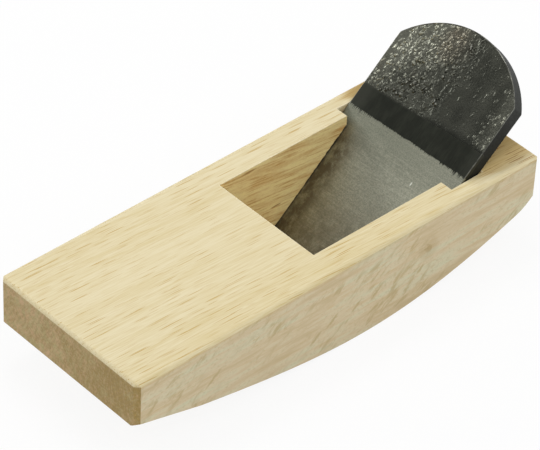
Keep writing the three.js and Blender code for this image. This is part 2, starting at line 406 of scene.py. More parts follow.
def new_material(name):
    """A material with a bare Principled shader, its wiring, and the shader."""
    material = bpy.data.materials.new(name)
    material.use_nodes = True
    material.node_tree.nodes.clear()
    wiring = Wiring(material.node_tree)
    shader = wiring.add("ShaderNodeBsdfPrincipled")
    wiring.add("ShaderNodeOutputMaterial", {"Surface": shader.outputs[0]})
    return material, wiring, shader


def place_in_mm(wiring):
    """The point on the surface in millimetres, in the plane's own frame."""
    return wiring.coordinate("Object").scaled((1 / MM,) * 3)


def place_on_blade(wiring):
    """The point in millimetres from the cutting edge: up the face, across it and off it."""
    inputs = {
        "Vector": wiring.coordinate("Object"),
        "Location": CUTTING_EDGE,
        "Rotation": (0, -BED_ANGLE - TAPER, 0),
        "Scale": (MM,) * 3,
    }
    return wiring.value("ShaderNodeMapping", inputs, vector_type="TEXTURE")


# Effects that more than one material uses

# The ends of the black band slope a little across the blade.
BAND_SLOPE = 0.045
GROUND_SLOPE = 0.021


def build_edge_wear_and_highlight(name):
    """A mask along the marked edges of a mesh, broken up by noise: wear on the blade, and a painted
    highlight on the oak's arrises.
    """
    group, wiring, given = new_group(
        name, {"Place": "vector", "Edge": "value", "Amount": "value"}, {"Mask": "value"})
    patches = given["Place"].noise((0.9, 0.9, 0.9), detail=4.0)
    nicks = given["Place"].noise((4.0, 4.0, 4.0), detail=2.0)
    kept = (patches + nicks * 0.35).rise(0.42, 0.78)
    wiring.add("NodeGroupOutput", {"Mask": (kept * given["Edge"] * given["Amount"]).clamped()})
    return group


def build_scratches(name):
    """Fine scratches along the first axis of the place that it is given."""
    group, wiring, given = new_group(
        name, {"Place": "vector", "Amount": "value"}, {"Mask": "value", "Height": "value"})
    fine = given["Place"].noise((0.2, 6.5, 6.5), detail=5.0, roughness=0.65)
    broad = given["Place"].noise((0.05, 1.1, 1.1), detail=2.0)
    lines = fine.rise(0.36, 0.66) * broad.rise(0.3, 0.75, 0.5, 1.0)
    wiring.add("NodeGroupOutput", {"Mask": lines * given["Amount"], "Height": fine})
    return group


def build_stain(name):
    """Soft cloudy patches for old rust, handling and heat colours."""
    group, wiring, given = new_group(
        name, {"Place": "vector", "Spread": "value"}, {"Mask": "value"})
    clouds = given["Place"].noise((0.14, 0.14, 0.14), detail=4.0, roughness=0.6)
    specks = given["Place"].noise((1.3, 1.3, 1.3), detail=3.0)
    above = clouds + specks * 0.3 - (0.95 - given["Spread"] * 0.4)
    wiring.add("NodeGroupOutput", {"Mask": above.rise(0.0, 0.22)})
    return group


def build_band_end(name):
    """One past the soft ragged end of the black band, where the hammered head begins."""
    group, wiring, given = new_group(name, {"Place": "vector", "Band To": "value"}, {"Past": "value"})
    up, across, _ = given["Place"].parts()
    ragged = given["Place"].noise((0.5, 1.2, 0.5), detail=4.0, roughness=0.65)
    line = given["Band To"] - across * BAND_SLOPE
    line += (ragged - 0.5) * 1.6
    past = (up - line).rise(-0.35, across.rise(6.0, -14.0, 0.9, 3.4))
    wiring.add("NodeGroupOutput", {"Past": past})
    return group


def use_group(wiring, name, build, inputs):
    """The outputs of a shared group, placed in a material."""
    return wiring.outputs("ShaderNodeGroup", inputs, node_tree=shared_group(name, build))


def edge_wear_and_highlight(wiring, place, colour, amount, bare):
    """A colour with a lighter one laid over it along the marked edges of the mesh: wear on the blade, a
    painted highlight on the oak.
    """
    inputs = {"Place": place, "Edge": wiring.attribute("edge"), "Amount": amount}
    wear = use_group(wiring, "Edge wear", build_edge_wear_and_highlight, inputs)["Mask"]
    return wiring.blend(wear, colour, bare)


def past_band(wiring, props, place):
    """One past the end of the black band."""
    inputs = {"Place": place, "Band To": props.band_to / MM}
    return use_group(wiring, "Band end", build_band_end, inputs)["Past"]


def scratched(wiring, place):
    """The mask and the height of full scratches along the first axis of the place."""
    return use_group(wiring, "Scratches", build_scratches, {"Place": place, "Amount": 1.0})


def stained(wiring, place):
    """The mask of a middling amount of stain."""
    return use_group(wiring, "Stain", build_stain, {"Place": place, "Spread": 0.5})["Mask"]


# Oak, with its places in millimetres

DECK = BLOCK_HIGH.z / MM
NEAR_END = BLOCK_LOW.x / MM
CHEEK = THROAT_HALF_WIDTH / MM
EDGE_ROUND = 1.4
SIDE_TOP = DECK - EDGE_ROUND
SPOT_X = 30.3
SPOT_Z = 18.5
SPOT_REACH = 2.1
SPOT_HALO = 2.4 * SPOT_REACH

# Marks, each with its middle and its reach either way.
CHEEK_PORES = (((16.0, 10.3), (2.6, 0.4)), ((4.5, 29.2), (3.2, 0.45)))
SIDE_FLECKS = (
    ((-52.5, 16.8), (5.0, 0.75)), ((-29.0, 21.8), (3.0, 1.1)), ((-7.5, 12.0), (4.0, 0.8)),
    ((-13.5, 9.0), (3.8, 0.8)), ((2.0, 12.5), (3.2, 0.75)), ((9.5, 13.0), (3.2, 0.7)),
    ((27.5, 12.3), (2.4, 0.8)),
)
SIDE_FLECK_TILT = math.radians(40)
SIDE_LINE_DEPTH = 1.4
FLECK_TILT = math.radians(38)

# The painted shadow of the blade and the brown tint behind it start at one X, later beside the right
# rail, and deepen in two steps across: where each starts and ends, and its tint.
SHADOW_BROWN_FROM = 47.0
SHADOW_BROWN_RUN = 6.0
SHADOW_BROWN_EDGE = 22.0
SHADOW_BROWN_DELAY = 1.6
SHADOW_BROWN_STEPS = ((-30.0, -23.5, (0.95, 0.81, 0.56)), (-24.5, -19.5, (0.76, 0.73, 0.66)))

CUT_TILT = math.radians(-7)
PITH_Y = -22.0
PITH_Z = DECK + 45.0
RING_SPACING = 1.35
GRAIN_SLANT = math.tan(math.radians(3.0))
PORE_DIVE = math.tan(math.radians(2.0))
ROW_SPACING = 1.7

# Each set of pores has its pitch, its shift from the other set, and its darkness.
PORE_SETS = ((0.5, 0.0, 1.0), (0.38, 7.3, 0.5))


def oak_pores(wiring, x, y, z):
    """Long thin tubes that dive through the surface, which cuts them to dashes in rows."""
    waver = wiring.joined(x * 0.02, y, z).noise(detail=1.0)
    row = (y + z * 0.8) / ROW_SPACING + waver * 0.5
    in_row = row.to_line().rise(0.3, 0.08, 0.15, 1.0)
    dived = z + x * PORE_DIVE
    pores = 0.0
    for pitch, shift, darkness in PORE_SETS:
        place = wiring.joined(y, dived + shift, 0.0)
        reach, own = place.scaled((1 / pitch,) * 3).cells()
        own_size, own_tone, _ = own.parts()
        size = own_size.rise(0.0, 1.0, 0.17, 0.34)
        dash = (reach / size).rise(1.0, 0.55)
        shown = dash * own_tone.rise(0.1, 0.9, 0.3, 1.1)
        pores = wiring.most(pores, shown * darkness)
    broken = wiring.joined(x * 0.16, y, z).noise(detail=2.0)
    pores *= broken.rise(0.36, 0.56, 0.6, 1.0)
    return pores * in_row


def side_spot(wiring, x, y, z, dust):
    """The one brown spot on the right side: a ragged core in a faint halo."""
    ragged = (dust - 0.5) * 6.0
    along = x + ragged - SPOT_X
    above = z - ragged - SPOT_Z
    squares = along ** 2 + above ** 2
    core = squares.rise(SPOT_REACH ** 2, 0.2, 0.0, 0.55)
    halo = squares.rise(SPOT_HALO ** 2, SPOT_REACH ** 2, 0.0, 0.22)
    return wiring.most(core, halo) * y.rise(1.0, -1.0)


def flat_mark(along, above, middle, reach, core=0.1):
    """One inside a small long mark on a flat face, and nought past its soft rim."""
    squares = ((along - middle[0]) / reach[0]) ** 2 + ((above - middle[1]) / reach[1]) ** 2
    return squares.rise(1.0, core)


def side_flecks(wiring, x, z, dust):
    """The few rays that show clearly on the sides: short slanting dashes with ragged rims."""
    ragged = (dust - 0.5) * 1.8
    lean, rise = math.cos(SIDE_FLECK_TILT), math.sin(SIDE_FLECK_TILT)
    along = x * lean + z * rise
    above = z * lean - x * rise + ragged
    shown = 0.0
    for (middle_x, middle_z), reach in SIDE_FLECKS:
        middle = (middle_x * lean + middle_z * rise, middle_z * lean - middle_x * rise)
        shown = wiring.most(shown, flat_mark(along, above, middle, reach))
    return shown


def along_grain(place, x, y, z):
    """The place across the grain, which runs along X with a slight slant and a slow wander."""
    wander = place.noise((0.011, 0.03, 0.03), detail=2.0)
    drift = (wander - 0.5) * 2.4
    y_grain = y + x * GRAIN_SLANT + drift
    return y_grain, z + drift * 0.4


def deck_tone(x, y, grain, streaks, fibres):
    """How dark the deck is: broad and narrow streaks, threads and fibres, and a deeper right side."""
    broad = grain.noise((0.006, 0.1, 0.1), detail=2.0)
    threads = grain.noise((0.07, 2.3, 2.3), detail=3.0, roughness=0.65)
    tone = streaks.rise(0.36, 0.64) * 0.26 + fibres.rise(0.34, 0.66) * 0.26
    tone += broad.rise(0.35, 0.65, -0.04, 0.14)
    tone += threads.rise(0.36, 0.64, -0.24, 0.24)
    right = y.rise(-13.0, -27.0) * x.rise(55.0, 0.0, 0.0, 0.26)
    right *= x.rise(NEAR_END, NEAR_END + 30, 0.55, 1.0)
    return (tone + right).clamped()


def side_colour(wiring, props, place, grain, dust):
    """Greyer wood, on which the rays show as soft slanting flecks."""
    x, y, z = place.parts()
    flecks = place.turned(FLECK_TILT).noise((0.14, 0.3, 0.42), detail=5.0, roughness=0.65, distortion=0.3)
    level = grain.noise((0.035, 0.2, 0.36), detail=5.0, roughness=0.66)
    gathered = place.noise((0.035, 0.1, 0.08), detail=2.0).rise(0.34, 0.58)
    fleck = flecks.rise(0.45, 0.66, 0.0, 0.72) * gathered
    fleck = wiring.most(fleck, side_flecks(wiring, x, z, dust) * 0.72)
    smear = level.rise(0.44, 0.7, 0.0, 0.5)
    speck = dust.rise(0.48, 0.7, 0.02, 0.44)
    colour = wiring.blend(level.rise(0.3, 0.58), props.side_cool, props.side)
    colour = wiring.blend(wiring.most(wiring.most(fleck, smear), speck), colour, props.ray)
    colour = wiring.blend(z.rise(SIDE_TOP - SIDE_LINE_DEPTH, SIDE_TOP, 0.0, 0.3), colour, props.pore)
    return wiring.blend(side_spot(wiring, x, y, z, dust), colour, props.end_deep)


def blade_shadow_and_brown(wiring, x, y, streaks):
    """One in the painted shadow and brown tint behind the blade, whose start is ragged and slants at the
    right.
    """
    ragged = x + (streaks - 0.5) * 10.0
    late = wiring.most((y + SHADOW_BROWN_EDGE) * -SHADOW_BROWN_DELAY, 0.0)
    return (ragged - late).rise(SHADOW_BROWN_FROM, SHADOW_BROWN_FROM + SHADOW_BROWN_RUN)


def in_throat_share(x, y, z, facing_up):
    """One on the walls that the throat is cut with."""
    start, end = THROAT_START / MM, THROAT_END / MM
    share = abs(y).rise(CHEEK + 0.3, CHEEK + 0.1)
    share *= z.rise(DECK - 0.1, DECK - 0.3)
    share *= x.rise(start - 0.3, start - 0.1)
    share *= x.rise(end + 1, end)
    return share * facing_up.rise(-0.5, -0.3)


def throat_colour_and_bounce(wiring, props, place, dust):
    """Cut wood, yellower and brighter with painted warm bounce light, with tilted streaks and two dark
    pores on the left cheek.
    """
    x, y, z = place.parts()
    turned = place.turned(CUT_TILT)
    cut = turned.noise((0.04, 0.3, 0.3), detail=5.0, roughness=0.6)
    thin = turned.noise((0.09, 0.6, 1.6), detail=3.0, roughness=0.6)
    tone = cut.rise(0.4, 0.64, 0.0, 0.5) + thin.rise(0.5, 0.66, 0.0, 0.62)
    tone = (tone + dust.rise(0.4, 0.65, 0.0, 0.15)).clamped()
    colour = wiring.blend(tone, props.throat_wood_and_bounce, props.throat_streak_and_bounce)
    on_left = y.rise(10.0, 12.0, 0.0, 0.8)
    for middle, reach in CHEEK_PORES:
        mark = flat_mark(x, z, middle, reach) * on_left
        colour = wiring.blend(mark, colour, props.mark)
    return colour


def end_colour(wiring, props, place, x, y_grain, z_grain, dust):
    """Darker end grain, with growth rings and rays round a pith above the deck."""
    from_pith_y = y_grain - PITH_Y
    from_pith_z = z_grain - PITH_Z
    radius = wiring.math("SQRT", from_pith_y ** 2 + from_pith_z ** 2)
    uneven = wiring.joined(x, y_grain, z_grain).noise((0.004, 0.21, 0.21), detail=2.0)
    rings = radius / RING_SPACING + uneven * 2.2
    early = rings.to_line().rise(0.36, 0.05)
    angle = wiring.math("ARCTAN2", from_pith_y, from_pith_z)
    rays = wiring.joined(angle * 90.0, radius * 0.3, x).noise(detail=5.0, roughness=0.72)
    patches = place.noise((0.14, 0.14, 0.14), detail=4.0, roughness=0.6)
    tone = rays.rise(0.4, 0.62) * 0.42
    tone += dust.rise(0.38, 0.62, 0.0, 0.42)
    tone += early * 0.08
    tone += patches.rise(0.35, 0.65, -0.12, 0.12)
    tone = (tone + place.parts()[1].rise(15.0, -24.0, -0.08, 0.40)).clamped()
    hue = place.noise((0.3, 0.42, 0.3), detail=5.0, roughness=0.7).rise(0.38, 0.62)
    return wiring.blend(tone, wiring.blend(hue, props.end, props.end_green), props.end_deep)


def oak_material(props):
    """Planed oak: streaks, pores cut to dashes, ray flecks on the sides and darker end grain."""
    material, wiring, shader = new_material("oak")
    place = place_in_mm(wiring)
    x, y, z = place.parts()
    facing = wiring.coordinate("Normal").parts()
    on_side = abs(facing[1]).rise(0.75, 0.97)
    on_side *= z.rise(SIDE_TOP + 0.25, SIDE_TOP)
    on_end = abs(facing[0]).rise(0.4, 0.6)
    on_end *= z.rise(DECK - 0.75 * EDGE_ROUND, SIDE_TOP)
    y_grain, z_grain = along_grain(place, x, y, z)
    grain = wiring.joined(x, y_grain, z_grain)
    streaks = grain.noise((0.012, 0.5, 0.5), detail=3.0, roughness=0.6)
    fibres = grain.noise((0.09, 3.2, 3.2), detail=4.0, roughness=0.65)
    dust = place.noise((0.9, 1.4, 1.4), detail=4.0, roughness=0.7)

    colour = wiring.blend(deck_tone(x, y, grain, streaks, fibres), props.pale, props.deep)
    colour = wiring.blend(on_side, colour, side_colour(wiring, props, place, grain, dust))
    behind = blade_shadow_and_brown(wiring, x, y, streaks) * (1.0 - on_side)
    # Painted shadow of the blade on the deck behind it, tinted brown and deepening in two steps toward
    # the blade.
    for low, high, tint in SHADOW_BROWN_STEPS:
        share = behind * y.rise(low, high)
        colour = wiring.blend(share, colour, wiring.tinted(colour, tint))
    in_throat = in_throat_share(x, y, z, facing[2])
    # Painted warm bounce light on the throat's walls, over the cut wood's streaks.
    colour = wiring.blend(in_throat, colour, throat_colour_and_bounce(wiring, props, place, dust))

    # Pores, most of them near the edges, near the near end and in the painted shadow behind the blade.
    crowd = grain.noise((0.015, 0.06, 0.06), detail=1.0)
    toward_edge = abs(y).rise(12.0, 27.0, 0.0, 0.45)
    toward_near = x.rise(NEAR_END + 60, NEAR_END + 10, 0.0, 0.3)
    dense = crowd.rise(0.35, 0.65, 0.55, 0.9) + toward_edge + toward_near
    dense += behind * 0.5
    hidden = wiring.most(on_side * 0.75, in_throat * 0.4)
    pores = oak_pores(wiring, x, y_grain, z_grain) * dense
    pores = (pores * (1.0 - hidden)).clamped()
    colour = wiring.blend(pores, colour, props.pore)
    # Behind the blade the pores take the deep marks' colour, which deepens the painted shadow there.
    colour = wiring.blend(pores * behind, colour, props.mark)

    end = end_colour(wiring, props, place, x, y_grain, z_grain, dust)
    end = wiring.blend(pores * 0.6, end, props.pore)
    colour = wiring.blend(on_end, colour, end)
    # The pale cream along the oak's softened arrises is a painted highlight.
    colour = edge_wear_and_highlight(wiring, place, colour, 0.7, (0.95, 0.85, 0.60))

    rough = fibres.rise(0.3, 0.7, 0.5, 0.62) + pores * 0.2
    height = fibres * 0.25 - pores
    bump = wiring.bump(height, 0.3, 0.08 * MM)
    inputs = {"Base Color": colour, "Roughness": rough, "Normal": bump, "Specular IOR Level": 0.3}
    wiring.feed(shader, inputs)
    return material


# Metal, with its places in millimetres up the face from the cutting edge and across it

RUST_PATCH = (77.0, 5.0)
RUST_REACH = (7.75, 7.75)
NICK = (36.1, -10.0)
NICK_REACH = (0.77, 0.2)
NICK_BRIGHT = (0.9, 0.92, 0.85)


def forge_skin_material(props):
    """Black skin on forged iron: painted sheen and shade, bare high spots, dark hollows, a little rust, a
    dull sheen.
    """
    material, wiring, shader = new_material("forge_skin")
    place = place_on_blade(wiring)
    up, across, _ = place.parts()
    relief = wiring.attribute("relief")
    # The forged attribute is mostly a painted sheen, lighter at the upper left and the rims of the head.
    forged = wiring.attribute("forged")

    clouds = place.noise((0.1, 0.13, 0.1), detail=4.0, roughness=0.6)
    grit = place.noise((2.6, 2.6, 2.6), detail=4.0, roughness=0.65)
    darker = wiring.tinted(props.skin, (0.42, 0.43, 0.43))
    mottle = clouds.rise(0.34, 0.66, 0.0, 0.9) + grit.rise(0.38, 0.62, 0.0, 0.6)
    colour = wiring.blend(mottle, darker, props.skin)
    wear_and_sheen_share = forged * grit.rise(0.36, 0.64, 0.45, 1.25)
    wear_and_sheen_share = (wear_and_sheen_share * clouds.rise(0.3, 0.7, 0.7, 1.0)).clamped()
    colour = wiring.blend(wear_and_sheen_share, colour, props.worn)
    right_half = across.rise(4.0, -2.0) * across.rise(-22.0, -17.0, 0.2, 1.0)
    shade = right_half * up.rise(76.0, 70.0, 0.1, 0.2)
    colour = wiring.blend(shade, colour, props.band)

    # Rust lies in faint clouds, most of it in one patch near the top of the head.
    patch = flat_mark(up, across, RUST_PATCH, RUST_REACH, core=0.033)
    patch *= clouds.rise(0.3, 0.6, 0.3, 0.7)
    rust = wiring.most(stained(wiring, place) * 0.4, patch) * forged
    colour = wiring.blend(rust * 0.75, colour, props.rust)

    # Hollows hold the darkest skin, black scale with painted shade between the lumps, and the tops of the
    # lumps are rubbed bare, with painted glints.
    hollow = relief.rise(0.24, 0.02) * forged.rise(0.04, 0.3, 0.0, 0.7)
    colour = wiring.blend(hollow, colour, darker)
    glint = relief.rise(0.4, 0.9) * grit.rise(0.35, 0.6, 0.1, 0.55)
    colour = wiring.blend(glint, colour, props.bare)
    in_band = (1.0 - past_band(wiring, props, place)) * up.rise(50.0, 51.0)
    colour = wiring.blend(in_band, colour, props.band)
    colour = edge_wear_and_highlight(wiring, place, colour, up.rise(55.0, 75.0, 0.15, 0.3), props.bare)

    rough = grit.rise(0.3, 0.7, 0.24, 0.36) - glint * 0.06
    bump = wiring.bump(grit, 0.45, 0.06 * MM)
    wiring.feed(shader, {"Base Color": colour, "Roughness": rough, "Normal": bump, "Metallic": 0.9})
    return material


def rim_material(props):
    """The thick rim of the blade: dull black scale, with painted shade low down, a painted bluish sheen
    toward the head, and rubbed edges.
    """
    material, wiring, shader = new_material("rim_scale")
    place = place_on_blade(wiring)
    grit = place.noise((1.6, 1.6, 1.6), detail=4.0, roughness=0.7)
    clouds = place.noise((0.16, 0.16, 0.3), detail=3.0)
    lighter = wiring.tinted(props.band, (1.7, 1.7, 1.9))
    share = grit.rise(0.36, 0.64) * clouds.rise(0.34, 0.66, 0.2, 0.9)
    colour = wiring.blend(share, props.band, lighter)
    # Painted shade low down and a painted bluish sheen toward the head.
    sheen_toward_head = place.parts()[0].rise(62.0, 76.0)
    tint = wiring.blend(sheen_toward_head, (0.6, 0.6, 0.58), (1.35, 1.35, 1.4))
    colour = edge_wear_and_highlight(wiring, place, wiring.tinted(colour, tint), 0.2, props.bare)
    bump = wiring.bump(grit, 0.4, 0.05 * MM)
    inputs = {"Base Color": colour, "Normal": bump, "Roughness": 0.55, "Specular IOR Level": 0.12}
    wiring.feed(shader, inputs)
    return material


def facing_material(props):
    """The steel facing: ground bright below a ragged line, smooth and black above it."""
    material, wiring, shader = new_material("ground_steel")
    place = place_on_blade(wiring)
    up, across, off = place.parts()

    # The line between them slopes a little, with strokes that reach down it near both sides.
    comb = wiring.joined(up * 0.1, across * 2.8, off).noise(detail=3.0, roughness=0.7)
    slow = wiring.joined(0.0, across * 0.16, off).noise(detail=2.0)
    reach = abs(across).rise(12.0, 21.0, 0.55, 2.7)
    line = props.ground_to / MM - across * GROUND_SLOPE
    line -= comb.rise(0.45, 0.75) * reach
    line += (slow - 0.3) * 0.9
    ground = (up - line).rise(0.15, -0.2)

    # Grinding scratches run across, and the band's run up the blade.
    cross = scratched(wiring, wiring.joined(across, up, off))
    along = scratched(wiring, place)
    bright = wiring.tinted(props.steel, (1.34, 1.31, 1.31))
    dull = wiring.tinted(props.steel, (0.74, 0.76, 0.74))
    grains = place.noise((2.4, 2.0, 2.0), detail=4.0, roughness=0.7)
    sheen = cross["Mask"] * 0.65
    sheen = (sheen + grains.rise(0.36, 0.64, -0.1, 0.45)).clamped()
    steel = wiring.blend(sheen, dull, bright)
    # The upper part of the ground steel is painted darker: painted shade against the raking lamp's extra
    # light there.
    deeper = wiring.tinted(steel, (0.71, 0.72, 0.70))
    upper = up.rise(30.0, 44.0) * across.rise(-21.0, 8.0, 0.5, 1.0)
    steel = wiring.blend(upper, steel, deeper)

    # It is painted browner low down and in a blotchy strip beside the left cheek: painted shade and wood
    # colour reflected from the cheek and throat, with faint stain over it.
    blotches = place.noise((0.22, 0.3, 0.3), detail=5.0, roughness=0.7)
    strip = across.rise(9.5, 17.5) * up.rise(42.0, 34.0)
    low = up.rise(28.0, 4.0) * 0.6
    browned = wiring.most(strip, low) * blotches.rise(0.36, 0.6, 0.3, 0.95)
    browned = wiring.most(browned, stained(wiring, place) * 0.2).clamped()
    steel = wiring.blend(browned, steel, props.tarnish_and_shade)
    nick = flat_mark(up, across, NICK, NICK_REACH, core=0.3)
    steel = wiring.blend(nick * 0.8, steel, NICK_BRIGHT)

    # The band is stroked along the blade, and turns to forge skin at its end and both sides.
    lighter = wiring.tinted(props.band, (2.2, 2.2, 2.1))
    uneven = place.noise((0.2, 0.35, 0.3), detail=4.0, roughness=0.6)
    strokes = along["Mask"] * across.rise(14.0, -14.0, 0.3, 0.6)
    strokes = (strokes + uneven.rise(0.4, 0.66, 0.0, 0.3)).clamped()
    band = wiring.blend(strokes, props.band, lighter)
    band = wiring.blend(past_band(wiring, props, place), band, props.skin)
    at_left = across.rise(16.5, 22.0, 0.0, 0.6)
    at_right = across.rise(-19.5, -23.0, 0.0, 0.35)
    band = wiring.blend(wiring.most(at_left, at_right), band, props.skin)
    colour = edge_wear_and_highlight(wiring, place, wiring.blend(ground, band, steel), 0.22, props.bare)

    rough = wiring.mixed(ground, 0.46, cross["Height"].rise(0.3, 0.7, 0.4, 0.5))
    height = wiring.mixed(ground, along["Height"], cross["Height"])
    bump = wiring.bump(height, 0.15, 0.03 * MM)
    wiring.feed(shader, {"Base Color": colour, "Roughness": rough, "Normal": bump, "Metallic": 0.95})
    return material


def bevel_material(props):
    """The ground bevel at the back of the blade, finely scratched along the edge."""
    material, wiring, shader = new_material("ground_iron")
    place = place_on_blade(wiring)
    up, across, off = place.parts()
    cross = scratched(wiring, wiring.joined(across, up, off))
    dull = wiring.tinted(props.bare, (0.75, 0.75, 0.76))
    colour = wiring.blend(cross["Mask"], dull, props.bare)
    rough = cross["Height"].rise(0.3, 0.7, 0.3, 0.45)
    bump = wiring.bump(cross["Height"], 0.3, 0.03 * MM)
    wiring.feed(shader, {"Base Color": colour, "Roughness": rough, "Normal": bump, "Metallic": 1.0})
    return material


# Mesh work

def merged_copy(node):
    """A copy of a solid's loose triangles, merged, with its flat faces made whole."""
    mesh = bmesh.new()
    mesh.from_mesh(frame["nodes"][node].data)
    bmesh.ops.remove_doubles(mesh, verts=mesh.verts, dist=WELD)
    bmesh.ops.dissolve_limit(mesh, angle_limit=FLAT_ANGLE, verts=mesh.verts, edges=mesh.edges)
    mesh.normal_update()
    return mesh


def soften(mesh, edges, width):
    """Rounds edges and marks the new faces as edge, for the wear and the painted highlight in their
    material.
    """
    mark = mesh.faces.layers.float.get("edge") or mesh.faces.layers.float.new("edge")
    made = bmesh.ops.bevel(mesh, geom=edges, offset=width, offset_type="OFFSET", segments=2,
                           profile=0.5, affect="EDGES", clamp_overlap=True, material=-1)
    for face in made["faces"]:
        face[mark] = 1.0


def sharp_edges(mesh):
    """The edges where two faces meet sharply."""
    return [edge for edge in mesh.edges if edge.is_manifold and edge.calc_face_angle() > SHARP_ANGLE]


def placed(name, data):
    """A new object in the scene."""
    made = bpy.data.objects.new(name, data)
    bpy.context.scene.collection.objects.link(made)
    return made


def placed_mesh(name, mesh, materials):
    """A new object that takes over a mesh, with its materials."""
    data = bpy.data.meshes.new(name)
    mesh.to_mesh(data)
    mesh.free()
    for material in materials:
        data.materials.append(material)
    return placed(name, data)


def finish_piece(mesh, name, node, body, materials):
    """Makes the mesh an object that stands for a node, rides on its body and has its materials."""
    bmesh.ops.recalc_face_normals(mesh, faces=mesh.faces)
    for face in mesh.faces:
        face.smooth = True
    for edge in mesh.edges:
        edge.smooth = not edge.is_manifold or edge.calc_face_angle() < SHARP_ANGLE
    piece = placed_mesh(name, mesh, materials)
    settle = piece.modifiers.new("weighted_normals", "WEIGHTED_NORMAL")
    settle.keep_sharp = True
    settle.weight = 100
    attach(piece, body)
    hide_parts(node)


def sliced(mesh, faces, start, direction, step, count):
    """Cuts faces into strips, step by step along a direction, and gives back all the pieces."""
    finished = []
    ahead = faces
    for number in range(1, count + 1):
        place = start + direction * step * number
        geometry = dict.fromkeys(ahead)
        for face in ahead:
            geometry.update(dict.fromkeys((*face.edges, *face.verts)))
        cut = bmesh.ops.bisect_plane(
            mesh, geom=list(geometry), dist=WELD, plane_co=place, plane_no=direction)
        pieces = [item for item in cut["geom"] if isinstance(item, bmesh.types.BMFace)]
        ahead = []
        for face in pieces:
            beyond = (face.calc_center_median() - place).dot(direction) > 0
            (ahead if beyond else finished).append(face)
        if not ahead:
            break
    return finished + ahead


# Block

def on_deck(point):
    """Whether a point lies on the flat of the deck."""
    return abs(point.z - BLOCK_HIGH.z) < WELD


LIP_CUTS = 110
LIP_SCALLOP = 1.5 * MM


def lip_edges(mesh):
    """The edges where the throat's cheeks meet the blade's grooves."""
    throat = []
    for edge in mesh.edges:
        first, second = (vertex.co for vertex in edge.verts)
        run = (second - first).normalized()
        along_face = abs(run.dot(FACE_UP)) > math.cos(math.radians(1))
        inside = abs(abs(first.y) - abs(second.y)) < WELD and abs(first.y) < HALF_WIDTH - MM
        if along_face and inside and edge.calc_length() > 10 * MM:
            throat.append(edge)
    return throat


def model_block(props):
    """The oak block, with softened arrises and a slightly wandering lip on each groove."""
    mesh = merged_copy("block")
    rim = [edge for edge in sharp_edges(mesh) if all(on_deck(vertex.co) for vertex in edge.verts)]
    soften(mesh, rim, props.arris)
    lips = lip_edges(mesh)
    made = bmesh.ops.subdivide_edges(mesh, edges=lips, cuts=LIP_CUTS)
    for item in made["geom_inner"]:
        if isinstance(item, bmesh.types.BMVert):
            place = item.co / LIP_SCALLOP
            bite = abs(noise.noise(place)) + 0.5 * abs(noise.noise(place * 2.3))
            item.co += FACE_NORMAL * (bite * props.lip_wander - CAD_GAP / 2)
    finish_piece(mesh, "oak_block", "block", "block", [oak_material(props)])


# Blade, with its places measured from the cutting edge

TOUCHING = 0.1 * MM
NEARLY = 0.2 * MM
RECESS_DEPTH = 1.5 * MM
RECESS_TOP = 57 * MM
BODY_BEVEL_TOP = 12 * MM
FACING_BEVEL_TOP = 3 * MM
FACING_END = 48 * MM
EAR_FROM = 19 * MM
RIM_FROM = -0.6 * MM
LEAN = 0.3
SUNK_SHARE = 0.45
RELIEF_SEED = 4


def relief_height(up, across, props):
    """Forged relief at a place on the face, from nought in the hollows to one on the lumps."""
    place = Vector((0.62 * up, across, 0)) / props.lump_pitch
    warped = place + 0.45 * noise.noise_vector(place * 0.9)
    distances, middles = noise.voronoi(warped)
    lump = ease(0.0, 0.65, distances[1] - distances[0])
    own = ease(-0.22, 0.3, noise.noise(middles[0] * 5.3))
    swell = 0.9 + 0.5 * noise.noise(place * 0.4)
    return min(max(lump * (0.12 + 0.88 * own) * swell, 0), 1)


def relief_strength(up, across):
    """How strongly the head is forged at a place: most at the left and top, least at the right."""
    drift = 4 * MM * noise.noise(Vector((up, across, 0)) / (8 * MM))
    left = ease(-5 * MM, 1 * MM, across + 0.7 * drift) * ease(24 * MM, 20.5 * MM, across + 0.3 * drift)
    right_rim = ease(-15 * MM, -20 * MM, across + drift) * ease(74 * MM, 66 * MM, up)
    faint = 0.18 + 0.3 * noise.noise(Vector((up, across, 5 * MM)) / (3 * MM))
    clear_of_band = ease(53 * MM, 55.5 * MM, up + 0.05 * across + 0.5 * drift)
    return max(left, 0.35 * right_rim, faint) * clear_of_band


def skin_wear_and_sheen(up, across, strength):
    """How light the forge skin is painted: mostly painted sheen at the upper left of the head and its
    rims, a little wear.
    """
    left = ease(-1 * MM, 8 * MM, across) * ease(66 * MM, 87 * MM, up + 0.83 * across)
    plain = 0.038 + 0.03 * ease(64 * MM, 74 * MM, up)
    plain += 0.06 * ease(-3 * MM, 3 * MM, across) * ease(53 * MM, 59 * MM, up)
    left_rim = 0.25 * ease(18 * MM, 22 * MM, across)
    left_rim += 0.28 * ease(15 * MM, 21 * MM, across) * ease(68 * MM, 56 * MM, up)
    right_rim = 0.33 * ease(-11 * MM, -22 * MM, across) * ease(84 * MM, 74 * MM, up)
    right_rim += 0.4 * ease(-18.5 * MM, -22 * MM, across)
    return 0.02 * strength + 1.2 * left + plain + left_rim + right_rim


def in_recess(edge):
    """Whether an edge of the body lies in the recess that the facing fills."""
    up, across, off = blade_place((edge.verts[0].co + edge.verts[1].co) / 2)
    on_floor = abs(off + RECESS_DEPTH) < NEARLY
    on_face = abs(off) < NEARLY and abs(across) < HALF_WIDTH - MM
    return up < RECESS_TOP and (on_floor or on_face)


